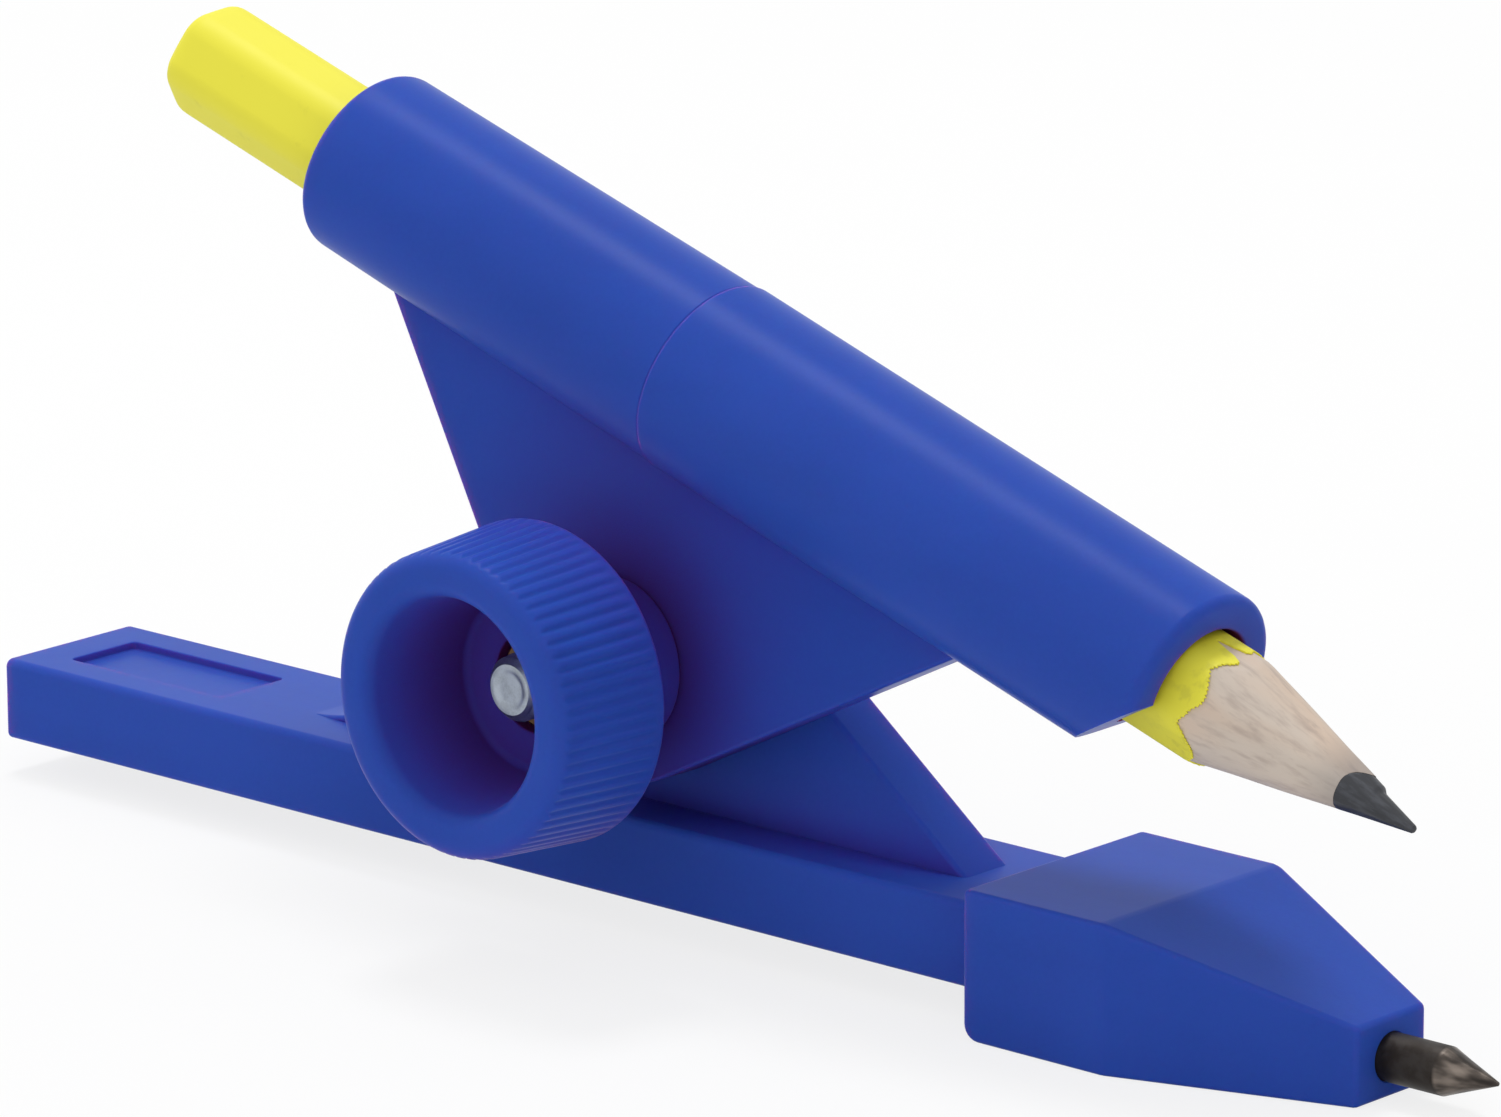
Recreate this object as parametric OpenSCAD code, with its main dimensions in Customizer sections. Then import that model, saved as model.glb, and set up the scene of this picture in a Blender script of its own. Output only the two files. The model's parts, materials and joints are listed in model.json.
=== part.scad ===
// Parallel marking gauge. A moulded base bar carries a steel point in its nose and a lug for the clamp
// bolt. A pencil holder swings on that bolt and is locked by a ribbed, cup-shaped knob with a brass insert.
// Millimetres. +X runs along the bar toward the steel point, +Y away from the knob, +Z up.
// The origin is on the bar's flat underside, in the bar's mid-plane, straight below the clamp bolt.

/* [Bar] */
// Width of the flat bar
bar_w = 11; // [9.8:0.2:13]
// Height of the flat bar
bar_h = 5.1; // [4.6:0.1:6]
// Length of the bar behind the clamp bolt
bar_rear = 52.3; // [48:0.1:58]
// Rounding of the bar's long top edges
bar_top_round = 1; // [0.5:0.1:1.3]
// Rounding of the bar's long bottom edges
bar_low_round = 0.4; // [0.2:0.1:0.8]
// Length of the shallow panel let into the bar's top
panel_l = 13.2; // [10:0.2:14]
// Width of the panel
panel_w = 5.5; // [4:0.1:6]
// Depth of the panel
panel_deep = 0.5; // [0.3:0.1:0.9]
// Distance from the bar's rear end to the panel
panel_margin = 3.1; // [2.4:0.1:5]

/* [Nose block] */
// Where the block starts, ahead of the clamp bolt
block_x = 28.5; // [27:0.1:31]
// Length of the block's parallel part
block_flat = 10.2; // [8:0.1:11]
// Length of the block's tapered nose
nose_l = 14.4; // [12:0.1:17]
// Width of the parallel part
block_w = 15.8; // [14:0.1:19]
// Width of the nose's front face
nose_w = 6.1; // [5.5:0.1:8]
// Height of the nose's front face
nose_h = 4.7; // [4.4:0.1:5.6]
// Step of the block above the bar
block_over = 1.7; // [1.2:0.1:2]
// Step of the block below the bar
block_under = 2.1; // [1.4:0.1:2.4]
// Rounding of the block's rear lower edge
block_round = 1; // [0.5:0.1:1.4]

/* [Steel point] */
// Diameter of the point's shank
point_d = 2.85; // [2:0.05:3.2]
// Length that stands out of the nose
point_out = 7.45; // [6:0.05:9]
// Length pressed into the nose
point_seat = 11; // [8:0.5:13]
// Length of the ground cone
point_cone = 3.5; // [2.5:0.1:5]
// Radius of the tip's small flat
point_tip_r = 0.12; // [0.08:0.02:0.3]

/* [Lug and bolt] */
// Height of the bolt's axis above the bar
pivot_h = 9.55; // [9:0.05:10.5]
// Thickness of the lug
lug_t = 3.8; // [3.4:0.1:5]
// Radius of the lug's head
lug_r = 6.8; // [6.2:0.1:7.6]
// Slope of the lug's two flanks
lug_slope = 37.6; // [34:0.1:42]
// Radius of the blend at the rear flank's foot
toe_r = 20; // [10:1:24]
// Radius of the boss round the bolt's head
boss_r = 5.6; // [5.3:0.1:6.2]
// Bolt diameter
bolt_d = 4; // [3.6:0.1:4.2]
// Bolt length under the head
bolt_l = 16; // [15:0.5:18]
// Bolt head across its flats
head_af = 7; // [6.6:0.1:7.2]
// Bolt head height
head_h = 2.8; // [2.4:0.1:3]
// How deep the bolt's head is let into the lug
head_sink = 0.7; // [0.3:0.1:1]

/* [Pencil holder] */
// Thickness of the holder's web
web_t = 3.6; // [3.2:0.1:4.6]
// Radius of the web's head
web_r = 7.5; // [6.6:0.1:8]
// Distance from the bolt's axis to the tube's axis
tube_off = 18.25; // [17.5:0.05:20]
// Downward tilt of the tube as photographed, in degrees
tube_tilt = 18.2; // [14:0.1:22]
// Tube length behind the parting line
tube_rear = 28.7; // [24:0.1:30]
// Tube length ahead of the parting line
tube_front = 38.4; // [36:0.1:40]
// Tube radius just ahead of the parting line
tube_r = 5.97; // [5.6:0.01:6.3]
// Step in radius at the parting line
part_step = 0.09; // [0.04:0.01:0.2]
// Loss of radius from the parting line to the rear end
draft_rear = 0.17; // [0.05:0.01:0.3]
// Loss of radius from the parting line to the front end
draft_front = 0.14; // [0.05:0.01:0.3]
// Rounding of the tube's two lips
tube_lip = 0.6; // [0.3:0.1:0.7]
// Gain in bore radius from the parting line to each end
bore_flare = 0.2; // [0.05:0.05:0.3]
// Depth of the 45 degree cut under the tube's front end
bevel = 5.9; // [4:0.1:6.4]

/* [Knob] */
// Length of the hub behind the rim
hub_l = 6.2; // [5.6:0.1:7]
// Radius of the hub
hub_r = 5; // [4.6:0.1:5.6]
// Length of the rim
rim_l = 8.2; // [7.4:0.1:9]
// Radius of the rim's rear edge
rim_r = 9.6; // [9.3:0.05:10]
// Loss of radius from the rim's rear edge to its lip
rim_draft = 0.6; // [0.2:0.05:0.8]
// Rounding of the rim's rear edge
rim_rear_round = 0.4; // [0.2:0.1:0.6]
// Rounding of the lip, inside and outside
lip_round = 1; // [0.7:0.1:1.1]
// Number of grip grooves round the rim
groove_n = 70; // [48:1:80]
// Width of a grip groove at the rim's surface
groove_w = 0.5; // [0.3:0.05:0.6]
// Depth of a grip groove
groove_deep = 0.2; // [0.1:0.02:0.3]
// Length of the plain band behind the grooves
plain_band = 0.7; // [0.6:0.1:1.5]
// Radius of the cup's mouth
cup_r = 6.5; // [6.2:0.1:6.8]
// Radius of the cup's floor
floor_r = 5.3; // [4.8:0.1:5.6]
// Thickness of the floor ahead of the hub
floor_t = 1; // [0.6:0.1:1.6]
// Outside diameter of the brass insert
insert_d = 6; // [5.4:0.2:6.4]
// How far the insert stops short of the floor
insert_sink = 0.5; // [0.2:0.1:1]
// Chamfer on the insert's two ends
insert_chamfer = 0.3; // [0.2:0.1:0.5]

/* [Pencil] */
// Pencil width across its flats, lacquer included
pencil_af = 6.7; // [6.4:0.1:7.2]
// Rounding of the pencil's six corners
pencil_corner = 1.2; // [0.8:0.1:1.4]
// Turn of the pencil in the tube, from a corner that points straight down
pencil_turn = 36; // [0:1:60]
// Pencil length behind the parting line
pencil_rear = 43.2; // [40:0.1:44]
// Pencil length ahead of the parting line
pencil_front = 54.45; // [52:0.05:55]
// Lacquer thickness
lacquer_t = 0.12; // [0.1:0.01:0.2]
// Lacquer thickness on the dipped end
dip_t = 0.5; // [0.3:0.1:1]
// Rounding of the dipped end
dip_round = 1.6; // [0.8:0.1:2]
// How far outside the pencil's corners that rounding starts
dip_out = 0.2; // [0.1:0.1:0.4]
// Lead diameter
lead_d = 2.4; // [2:0.1:2.6]
// Half angle of the sharpened cone
sharp_angle = 12.8; // [10:0.1:14]
// Radius of the worn lead tip
lead_tip_r = 0.22; // [0.15:0.01:0.4]

/* [Fits] */
// Radial running clearance between the bolt and the pieces that turn on it
run_gap = 0.06; // [0.03:0.01:0.1]
// Gap between the lug, the web and the knob's hub
face_gap = 0.05; // [0.03:0.01:0.1]
// Clearance round the bolt in the lug
lug_gap = 0.1; // [0.05:0.05:0.15]
// Clearance round each flat of the bolt's head
head_gap = 0.05; // [0.03:0.01:0.1]
// Radial clearance between the pencil's corners and the bore's narrowest part
pencil_gap = 0.06; // [0.04:0.01:0.1]

/* [Hidden] */
$fn = 96;
overlap = 1;
// How far a straight flank lies inside the round head or blend that it runs into
flank_inset = 0.03;
pivot_z = bar_h + pivot_h;
taper_x = block_x + block_flat;
nose_x = taper_x + nose_l;
point_z = nose_h / 2 - block_under;
lug_face = lug_t / 2;
head_seat = lug_face - head_sink;
web_far = lug_face + face_gap;
web_near = web_far + web_t;
tube_y = -(web_far + web_near) / 2;
hub_back = web_near + face_gap;
bolt_r = bolt_d / 2;
bolt_chamfer = bolt_r / 4;
head_r = head_af / 2 / cos(30);
pocket_r = (head_af / 2 + head_gap) / cos(30);
tube_rear_r = tube_r - part_step;
corner_at = (pencil_af / 2 - pencil_corner) / cos(30);
pencil_r = corner_at + pencil_corner + flank_inset;
bore_r = pencil_r + pencil_gap;
lead_r = lead_d / 2;
insert_r = insert_d / 2;
floor_z = hub_l + floor_t;
knob_l = hub_l + rim_l;
lip_r = rim_r - rim_draft;
sharp_l = (pencil_r + overlap - lead_tip_r) / tan(sharp_angle);

// Placing helpers. A plate drawn in X and Z grows toward the knob, and a turned shape stands along its axis.
module plate(thick) rotate([90, 0, 0]) linear_extrude(thick) children();
module along_x() rotate([0, 90, 0]) children();
module along_bolt() translate([0, 0, pivot_z]) rotate([90, 0, 0]) children();
module on_holder() translate([0, 0, pivot_z]) rotate([0, tube_tilt, 0]) children();
module on_tube() on_holder() translate([0, tube_y, tube_off]) along_x() children();

// What rounding takes off a corner at the origin, when the piece lies toward negative x and y.
module corner_waste(r) {
    translate([-r, -r])
        difference() {
            square(r + overlap);
            circle(r);
        }
}

module bar_section() {
    half = bar_w / 2;
    difference() {
        translate([-half, 0]) square([bar_w, bar_h]);
        for (side = [0, 1]) mirror([side, 0]) {
            translate([half, bar_h]) corner_waste(bar_top_round);
            translate([half, 0]) mirror([0, 1]) corner_waste(bar_low_round);
        }
    }
}

module bar() {
    translate([-bar_rear, 0, 0])
        rotate([90, 0, 90])
            linear_extrude(bar_rear + block_x + overlap) bar_section();
}

module block_side() {
    low = -block_under;
    high = bar_h + block_over;
    difference() {
        polygon([[block_x, low], [nose_x, low], [nose_x, low + nose_h], [taper_x, high], [block_x, high]]);
        translate([block_x, low]) rotate(180) corner_waste(block_round);
    }
}

module block_plan() {
    half = block_w / 2;
    tip = nose_w / 2;
    polygon([[block_x, -half], [taper_x, -half], [nose_x, -tip], [nose_x, tip], [taper_x, half], [block_x, half]]);
}

module block() {
    intersection() {
        translate([0, block_w / 2, 0]) plate(block_w) block_side();
        translate([0, 0, -block_under]) linear_extrude(bar_h + block_over + block_under) block_plan();
    }
}

// The lug's outline stands on the bar's top: a round head, two straight flanks and a blend at the rear foot.
module lug_outline() {
    flank = lug_r - flank_inset;
    foot = (flank + pivot_h * cos(lug_slope)) / sin(lug_slope);
    top_x = flank * sin(lug_slope);
    top_z = pivot_h + flank * cos(lug_slope);
    blend_x = ((toe_r - pivot_h) * cos(lug_slope) - flank - toe_r) / sin(lug_slope);
    meet_x = blend_x + toe_r * sin(lug_slope);
    meet_z = toe_r * (1 - cos(lug_slope));
    translate([0, pivot_h]) circle(lug_r);
    polygon([[-foot, -overlap], [-foot, 0], [-top_x, top_z], [top_x, top_z], [foot, 0], [foot, -overlap]]);
    difference() {
        polygon([[blend_x, -overlap], [blend_x, 0], [meet_x, meet_z], [meet_x, -overlap]]);
        translate([blend_x, toe_r - flank_inset]) circle(toe_r);
    }
}

module lug() {
    translate([0, lug_face, bar_h]) plate(lug_t) lug_outline();
    along_bolt() translate([0, 0, -head_seat - head_h]) cylinder(r = boss_r, h = head_h);
}

module base_body() {
    color([0.19, 0.29, 0.62])
        difference() {
            union() {
                bar();
                block();
                lug();
            }
            translate([panel_margin - bar_rear, -panel_w / 2, bar_h - panel_deep])
                cube([panel_l, panel_w, panel_deep + overlap]);
            along_bolt() translate([0, 0, -lug_face - overlap])
                cylinder(r = bolt_r + lug_gap, h = lug_t + 2 * overlap);
            along_bolt() translate([0, 0, -head_seat - head_h - overlap])
                cylinder(r = pocket_r, h = head_h + overlap, $fn = 6);
            translate([nose_x - point_seat, 0, point_z])
                along_x() cylinder(d = point_d, h = point_seat + overlap);
        }
}

module steel_point() {
    r = point_d / 2;
    l = point_seat + point_out;
    color([0.33, 0.31, 0.3])
        translate([nose_x - point_seat, 0, point_z])
            along_x() rotate_extrude()
                polygon([[0, 0], [r, 0], [r, l - point_cone], [point_tip_r, l], [0, l]]);
}

module bolt_head() {
    // The cone above the flats is the usual chamfer, which leaves a round washer face on top.
    top_r = head_af / 2;
    slope = (head_r - top_r) * tan(30);
    intersection() {
        translate([0, 0, -head_h]) cylinder(r = head_r, h = head_h, $fn = 6);
        rotate_extrude()
            polygon([[0, -head_h], [top_r, -head_h], [head_r, slope - head_h], [head_r, 0], [0, 0]]);
    }
}

module clamp_bolt() {
    tip = bolt_r - bolt_chamfer;
    color([0.78, 0.78, 0.76])
        along_bolt() translate([0, 0, -head_seat]) {
            bolt_head();
            rotate_extrude()
                polygon([[0, -head_h / 2], [bolt_r, -head_h / 2], [bolt_r, bolt_l - bolt_chamfer],
                    [tip, bolt_l], [0, bolt_l]]);
        }
}

// Outside of the tube: two drafted halves that meet at the parting line, each ending in a rounded lip.
module tube_outside() {
    rear_end = tube_rear_r - draft_rear;
    front_end = tube_r - draft_front;
    difference() {
        polygon([[0, -tube_rear], [rear_end, -tube_rear], [tube_rear_r, 0], [tube_r, 0],
            [front_end, tube_front], [0, tube_front]]);
        translate([rear_end, -tube_rear]) mirror([0, 1]) corner_waste(tube_lip);
        translate([front_end, tube_front]) corner_waste(tube_lip);
    }
}

// Inside of the tube: narrowest at the parting line, where it grips the pencil's corners.
module tube_inside() {
    mouth = bore_r + bore_flare;
    polygon([[0, -tube_rear - overlap], [mouth, -tube_rear - overlap], [mouth, -tube_rear], [bore_r, 0],
        [mouth, tube_front], [mouth, tube_front + overlap], [0, tube_front + overlap]]);
}

// The web's outline round the bolt: a round head and two edges that spread at 45 degrees up to the tube.
module web_outline() {
    flank = web_r - flank_inset;
    touch = flank * cos(45);
    top = tube_off - (tube_r + bore_r) / 2;
    reach = top + flank / cos(45);
    circle(web_r);
    polygon([[-touch, -touch], [touch, -touch], [reach, top], [-reach, top]]);
}

module web() on_holder() translate([0, -web_far, 0]) plate(web_t) web_outline();

module bevel_cut() {
    // Everything below a plane that leans at 45 degrees, under the tube's front end.
    side = 2 * tube_r;
    start = tube_front - bevel;
    low = tube_off - tube_r + draft_front;
    on_holder() translate([0, tube_y + side, 0])
        plate(2 * side) polygon([[start, low], [start + side, low + side], [start + side, low - side],
            [start - side, low - side]]);
}

module pencil_holder() {
    color([0.2, 0.3, 0.63])
        difference() {
            union() {
                on_tube() rotate_extrude() tube_outside();
                web();
            }
            on_tube() rotate_extrude() tube_inside();
            along_bolt() translate([0, 0, web_far - overlap])
                cylinder(r = bolt_r + run_gap, h = web_t + 2 * overlap);
            bevel_cut();
        }
}

// Half section of the knob, from the hub's rear face to the lip.
module knob_section() {
    wall_z = knob_l - lip_round;
    difference() {
        polygon([[insert_r, 0], [hub_r, 0], [hub_r, hub_l], [rim_r, hub_l], [lip_r, knob_l], [cup_r, knob_l],
            [cup_r, wall_z], [floor_r, floor_z], [insert_r, floor_z]]);
        translate([rim_r, hub_l]) mirror([0, 1]) corner_waste(rim_rear_round);
        translate([lip_r, knob_l]) corner_waste(lip_round);
        translate([cup_r, knob_l]) mirror([1, 0]) corner_waste(lip_round);
    }
}

// One grip groove of V section. It follows the rim's draft from the plain band and runs out through the lip.
module grip_groove() {
    lean = atan(rim_draft / rim_l);
    translate([rim_r, 0, hub_l])
        rotate([0, -lean, 0])
            translate([0, 0, plain_band])
                linear_extrude(rim_l)
                    polygon([[-groove_deep, 0], [groove_deep, -groove_w], [groove_deep, groove_w]]);
}

module clamp_knob() {
    step = 360 / groove_n;
    color([0.18, 0.27, 0.6])
        along_bolt() translate([0, 0, hub_back]) difference() {
            rotate_extrude() knob_section();
            for (i = [0 : groove_n - 1]) rotate((i + 0.5) * step) grip_groove();
        }
}

module brass_insert() {
    l = floor_z - insert_sink;
    r = insert_r;
    c = insert_chamfer;
    bore = bolt_r + run_gap;
    color([0.72, 0.58, 0.3])
        along_bolt() translate([0, 0, hub_back])
            rotate_extrude()
                polygon([[bore, 0], [r - c, 0], [r, c], [r, l - c], [r - c, l], [bore, l]]);
}

// The cone that the sharpener cuts, drawn as the half section that is kept.
module sharpened(rear) {
    wide = pencil_r + overlap;
    tip_z = pencil_front - sharp_l;
    rotate_extrude()
        polygon([[0, rear], [wide, rear], [wide, tip_z], [lead_tip_r, pencil_front], [0, pencil_front]]);
}

// The pencil's six-sided section, with a skin of some thickness taken off. Each round corner stands just proud
// of the two flats that run into it.
module pencil_section(skin) {
    r = pencil_corner - skin;
    corners = [for (i = [0 : 5]) 60 * i];
    polygon([for (a = corners, side = [-30, 30])
        corner_at * [cos(a), sin(a)] + r * [cos(a + side), sin(a + side)]]);
    for (a = corners) rotate(a) translate([corner_at, 0]) circle(r + flank_inset);
}

module hexagon(skin, from, to) {
    translate([0, 0, from]) rotate(pencil_turn) linear_extrude(to - from) pencil_section(skin);
}

module casing() {
    rear = dip_t - pencil_rear;
    difference() {
        intersection() {
            hexagon(lacquer_t, rear, pencil_front);
            sharpened(rear);
        }
        translate([0, 0, rear - overlap]) cylinder(r = lead_r, h = pencil_rear + pencil_front + 2 * overlap);
    }
}

// The casing is two glued slats that meet in the plane of the tube's axis and the bolt's direction.
module slat(side) {
    l = pencil_rear + pencil_front;
    intersection() {
        casing();
        translate([side > 0 ? -pencil_r : 0, -pencil_r, -pencil_rear]) cube([pencil_r, 2 * pencil_r, l]);
    }
}

module pencil_slat_upper() color([0.86, 0.7, 0.55]) on_tube() slat(1);

module pencil_slat_lower() color([0.83, 0.67, 0.52]) on_tube() slat(-1);

module pencil_lead() {
    rear = dip_t - pencil_rear;
    color([0.16, 0.16, 0.17])
        on_tube() intersection() {
            translate([0, 0, rear]) cylinder(r = lead_r, h = pencil_front - rear);
            sharpened(rear);
        }
}

// The dipped end's rounding, turned about the pencil's axis.
module dipped() {
    difference() {
        translate([0, -pencil_rear]) square([pencil_r + overlap, pencil_rear + pencil_front]);
        translate([pencil_r + dip_out, -pencil_rear]) mirror([0, 1]) corner_waste(dip_round);
    }
}

module pencil_lacquer() {
    color([0.93, 0.87, 0.36])
        on_tube() difference() {
            intersection() {
                hexagon(0, -pencil_rear, pencil_front);
                rotate_extrude() dipped();
                sharpened(-pencil_rear);
            }
            hexagon(lacquer_t, dip_t - pencil_rear, pencil_front + overlap);
        }
}

base_body();
steel_point();
clamp_bolt();
pencil_holder();
clamp_knob();
brass_insert();
pencil_slat_upper();
pencil_slat_lower();
pencil_lead();
pencil_lacquer();
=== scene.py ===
"""Dresses the parallel marking gauge: moulded, turned and sharpened meshes around the packed solids."""

import json
import math

import bmesh
import bpy
from bpy.props import FloatProperty, FloatVectorProperty, IntProperty, PointerProperty
from mathutils import Matrix, Vector

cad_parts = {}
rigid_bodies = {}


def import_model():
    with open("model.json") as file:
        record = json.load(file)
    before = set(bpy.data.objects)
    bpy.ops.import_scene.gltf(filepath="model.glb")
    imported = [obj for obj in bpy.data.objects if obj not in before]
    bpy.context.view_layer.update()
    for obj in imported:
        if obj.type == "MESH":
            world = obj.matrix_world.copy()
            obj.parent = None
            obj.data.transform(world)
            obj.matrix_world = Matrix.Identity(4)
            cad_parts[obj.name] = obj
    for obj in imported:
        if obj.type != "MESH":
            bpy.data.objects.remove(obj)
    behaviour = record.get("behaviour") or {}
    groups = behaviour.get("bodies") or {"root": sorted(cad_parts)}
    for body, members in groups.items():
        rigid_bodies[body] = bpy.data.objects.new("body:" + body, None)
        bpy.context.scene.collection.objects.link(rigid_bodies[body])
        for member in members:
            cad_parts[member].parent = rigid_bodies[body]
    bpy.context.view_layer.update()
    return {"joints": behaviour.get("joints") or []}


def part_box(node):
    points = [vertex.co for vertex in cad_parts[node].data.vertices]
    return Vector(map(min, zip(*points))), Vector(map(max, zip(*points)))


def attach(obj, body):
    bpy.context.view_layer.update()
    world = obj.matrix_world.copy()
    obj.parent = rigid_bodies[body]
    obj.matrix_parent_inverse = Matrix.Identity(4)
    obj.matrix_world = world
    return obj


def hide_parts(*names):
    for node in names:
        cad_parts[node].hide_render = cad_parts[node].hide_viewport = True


bl_info = {
    "name": "Parallel marking gauge",
    "version": (1, 0, 0),
    "blender": (4, 5, 0),
    "location": "View3D > Sidebar > Gauge",
    "description": "Builds the finished pieces of a moulded parallel marking gauge and its studio",
    "category": "Object",
}

for leftover in list(bpy.data.objects):
    bpy.data.objects.remove(leftover)
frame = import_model()

MM = 0.001
IMAGE_W = 1501
IMAGE_H = 1117

# Places that the packed solids already hold: the clamp axis, the tube's axis and the point's axis.
JOINTS = {joint["name"]: joint for joint in frame["joints"]}
PIVOT = Vector(JOINTS["holder_pivot"]["pos_m"])
ALONG_TUBE = Vector(JOINTS["pencil_slide"]["axis"]).normalized()
UP_FROM_TUBE = Vector((-ALONG_TUBE.z, 0, ALONG_TUBE.x))
TO_KNOB = Vector((0, -1, 0))
FORWARD = Vector((1, 0, 0))
UP = Vector((0, 0, 1))


def lead_rear():
    """Centre of the lead's rear end, worked out from its box and the direction it lies in."""
    low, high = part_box("pencil_lead")
    radius = (high.y - low.y) / 2
    x = low.x + radius * math.sqrt(1 - ALONG_TUBE.x ** 2)
    z = high.z - radius * math.sqrt(1 - ALONG_TUBE.z ** 2)
    return Vector((x, (low.y + high.y) / 2, z))


def upright_frame(origin, across, side, along):
    """A frame whose local x, y and z lie along the three given directions."""
    turn = Matrix((across, side, along)).transposed().to_4x4()
    return Matrix.Translation(origin) @ turn


LEAD_REAR = lead_rear()
TUBE_MID = LEAD_REAR + ALONG_TUBE * (PIVOT - LEAD_REAR).dot(ALONG_TUBE)
TUBE_OFFSET = (TUBE_MID - PIVOT).dot(UP_FROM_TUBE)
TUBE_FRAME = upright_frame(TUBE_MID, UP_FROM_TUBE, TO_KNOB, ALONG_TUBE)
BOLT_FRAME = upright_frame(PIVOT, FORWARD, UP, TO_KNOB)
POINT_LOW, POINT_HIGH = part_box("steel_point")
POINT_Z = (POINT_LOW.z + POINT_HIGH.z) / 2
POINT_RADIUS = (POINT_HIGH.y - POINT_LOW.y) / 2
POINT_FRAME = upright_frame(Vector((POINT_LOW.x, 0, POINT_Z)), UP, TO_KNOB, FORWARD)
BASE_LOW, BASE_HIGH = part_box("base_body")
BOLT_LOW, BOLT_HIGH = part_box("clamp_bolt")
KNOB_LOW, KNOB_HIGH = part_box("clamp_knob")
INSERT_LOW, INSERT_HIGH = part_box("brass_insert")
INSERT_RADIUS = (INSERT_HIGH.x - INSERT_LOW.x) / 2


def length(name, description, millimetres):
    """A size property, stored in metres and written here in millimetres."""
    return FloatProperty(
        name=name, description=description, default=millimetres * MM,
        min=0, unit="LENGTH", subtype="DISTANCE")


def location(name, description, *millimetres):
    """A place in the gauge's frame, stored in metres and written here in millimetres."""
    return FloatVectorProperty(
        name=name, description=description, default=[value * MM for value in millimetres],
        size=3, unit="LENGTH", subtype="TRANSLATION")


def colour(name, description, *channels):
    """A colour property in linear light."""
    return FloatVectorProperty(
        name=name, description=description, default=channels,
        size=3, min=0, max=1, subtype="COLOR")


def angle(name, description, degrees):
    """An angle property, stored in radians and written here in degrees."""
    return FloatProperty(
        name=name, description=description, default=math.radians(degrees), subtype="ANGLE")


def number(name, description, value, unit="NONE"):
    """A plain number, or a power in watts."""
    return FloatProperty(name=name, description=description, default=value, unit=unit)


class BaseSizes(bpy.types.PropertyGroup):
    """Sizes of the bar, the nose block and the lug."""

    bar_width: length("Bar width", "Width of the flat bar", 11)
    bar_height: length("Bar height", "Height of the flat bar", 5.1)
    top_round: length("Top edge", "Rounding of the bar's long top edges", 0.5)
    low_round: length("Bottom edge", "Rounding of the bar's long bottom edges", 0.4)
    edge_round: length("Moulded edge", "Rounding of the block's and the lug's edges", 0.32)
    end_round: length("Bar end", "Rounding of the bar's rear end", 0.28)
    panel_length: length("Panel length", "Length of the shallow panel in the bar's top", 13.2)
    panel_width: length("Panel width", "Width of the panel", 5.5)
    panel_depth: length("Panel depth", "Depth of the panel", 0.5)
    panel_margin: length("Panel margin", "Distance from the bar's rear end to the panel", 3.1)
    block_start: length("Block start", "Where the nose block starts, ahead of the clamp axis", 28.5)
    block_flat: length("Block length", "Length of the block's parallel part", 10.2)
    nose_width: length("Nose width", "Width of the nose's front face", 6.1)
    nose_height: length("Nose height", "Height of the nose's front face", 4.7)
    block_over: length("Step above", "Step of the block above the bar", 1.7)
    block_round: length("Heel", "Rounding of the block's rear lower edge", 1)
    lug_thickness: length("Lug thickness", "Thickness of the upright lug", 3.8)
    lug_radius: length("Lug head", "Radius of the lug's head", 6.8)
    lug_slope: angle("Lug slope", "Slope of the lug's flanks", 37.6)
    toe_radius: length("Toe", "Radius of the blend at the rear flank's foot", 20)
    boss_radius: length("Boss", "Radius of the boss round the bolt's head", 5.6)
    bolt_room: length("Bolt room", "Radial room round the bolt in the lug", 0.1)
    head_room: length("Head room", "Room beside each flat of the bolt's head", 0.05)


class HolderSizes(bpy.types.PropertyGroup):
    """Sizes of the pencil tube and its web."""

    web_thickness: length("Web thickness", "Thickness of the web", 3.6)
    web_radius: length("Web head", "Radius of the web's head", 7.5)
    edge_round: length("Web edge", "Rounding of the web's edges", 0.25)
    rear_length: length("Rear half", "Tube length behind the parting line", 28.7)
    front_length: length("Front half", "Tube length ahead of the parting line", 38.4)
    radius: length("Tube radius", "Tube radius just ahead of the parting line", 5.97)
    step: length("Parting step", "Step in radius at the parting line", 0.09)
    rear_draft: length("Rear draft", "Loss of radius toward the rear end", 0.17)
    front_draft: length("Front draft", "Loss of radius toward the front end", 0.14)
    lip: length("Lip", "Rounding of the tube's two lips", 0.6)
    bore: length("Bore", "Radius of the bore at the parting line", 3.77)
    flare: length("Flare", "Gain in bore radius toward each end", 0.08)
    bevel: length("Bevel", "Depth of the cut under the front end", 5.9)
    bolt_room: length("Bolt room", "Radial room round the bolt in the web", 0.06)


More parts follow.
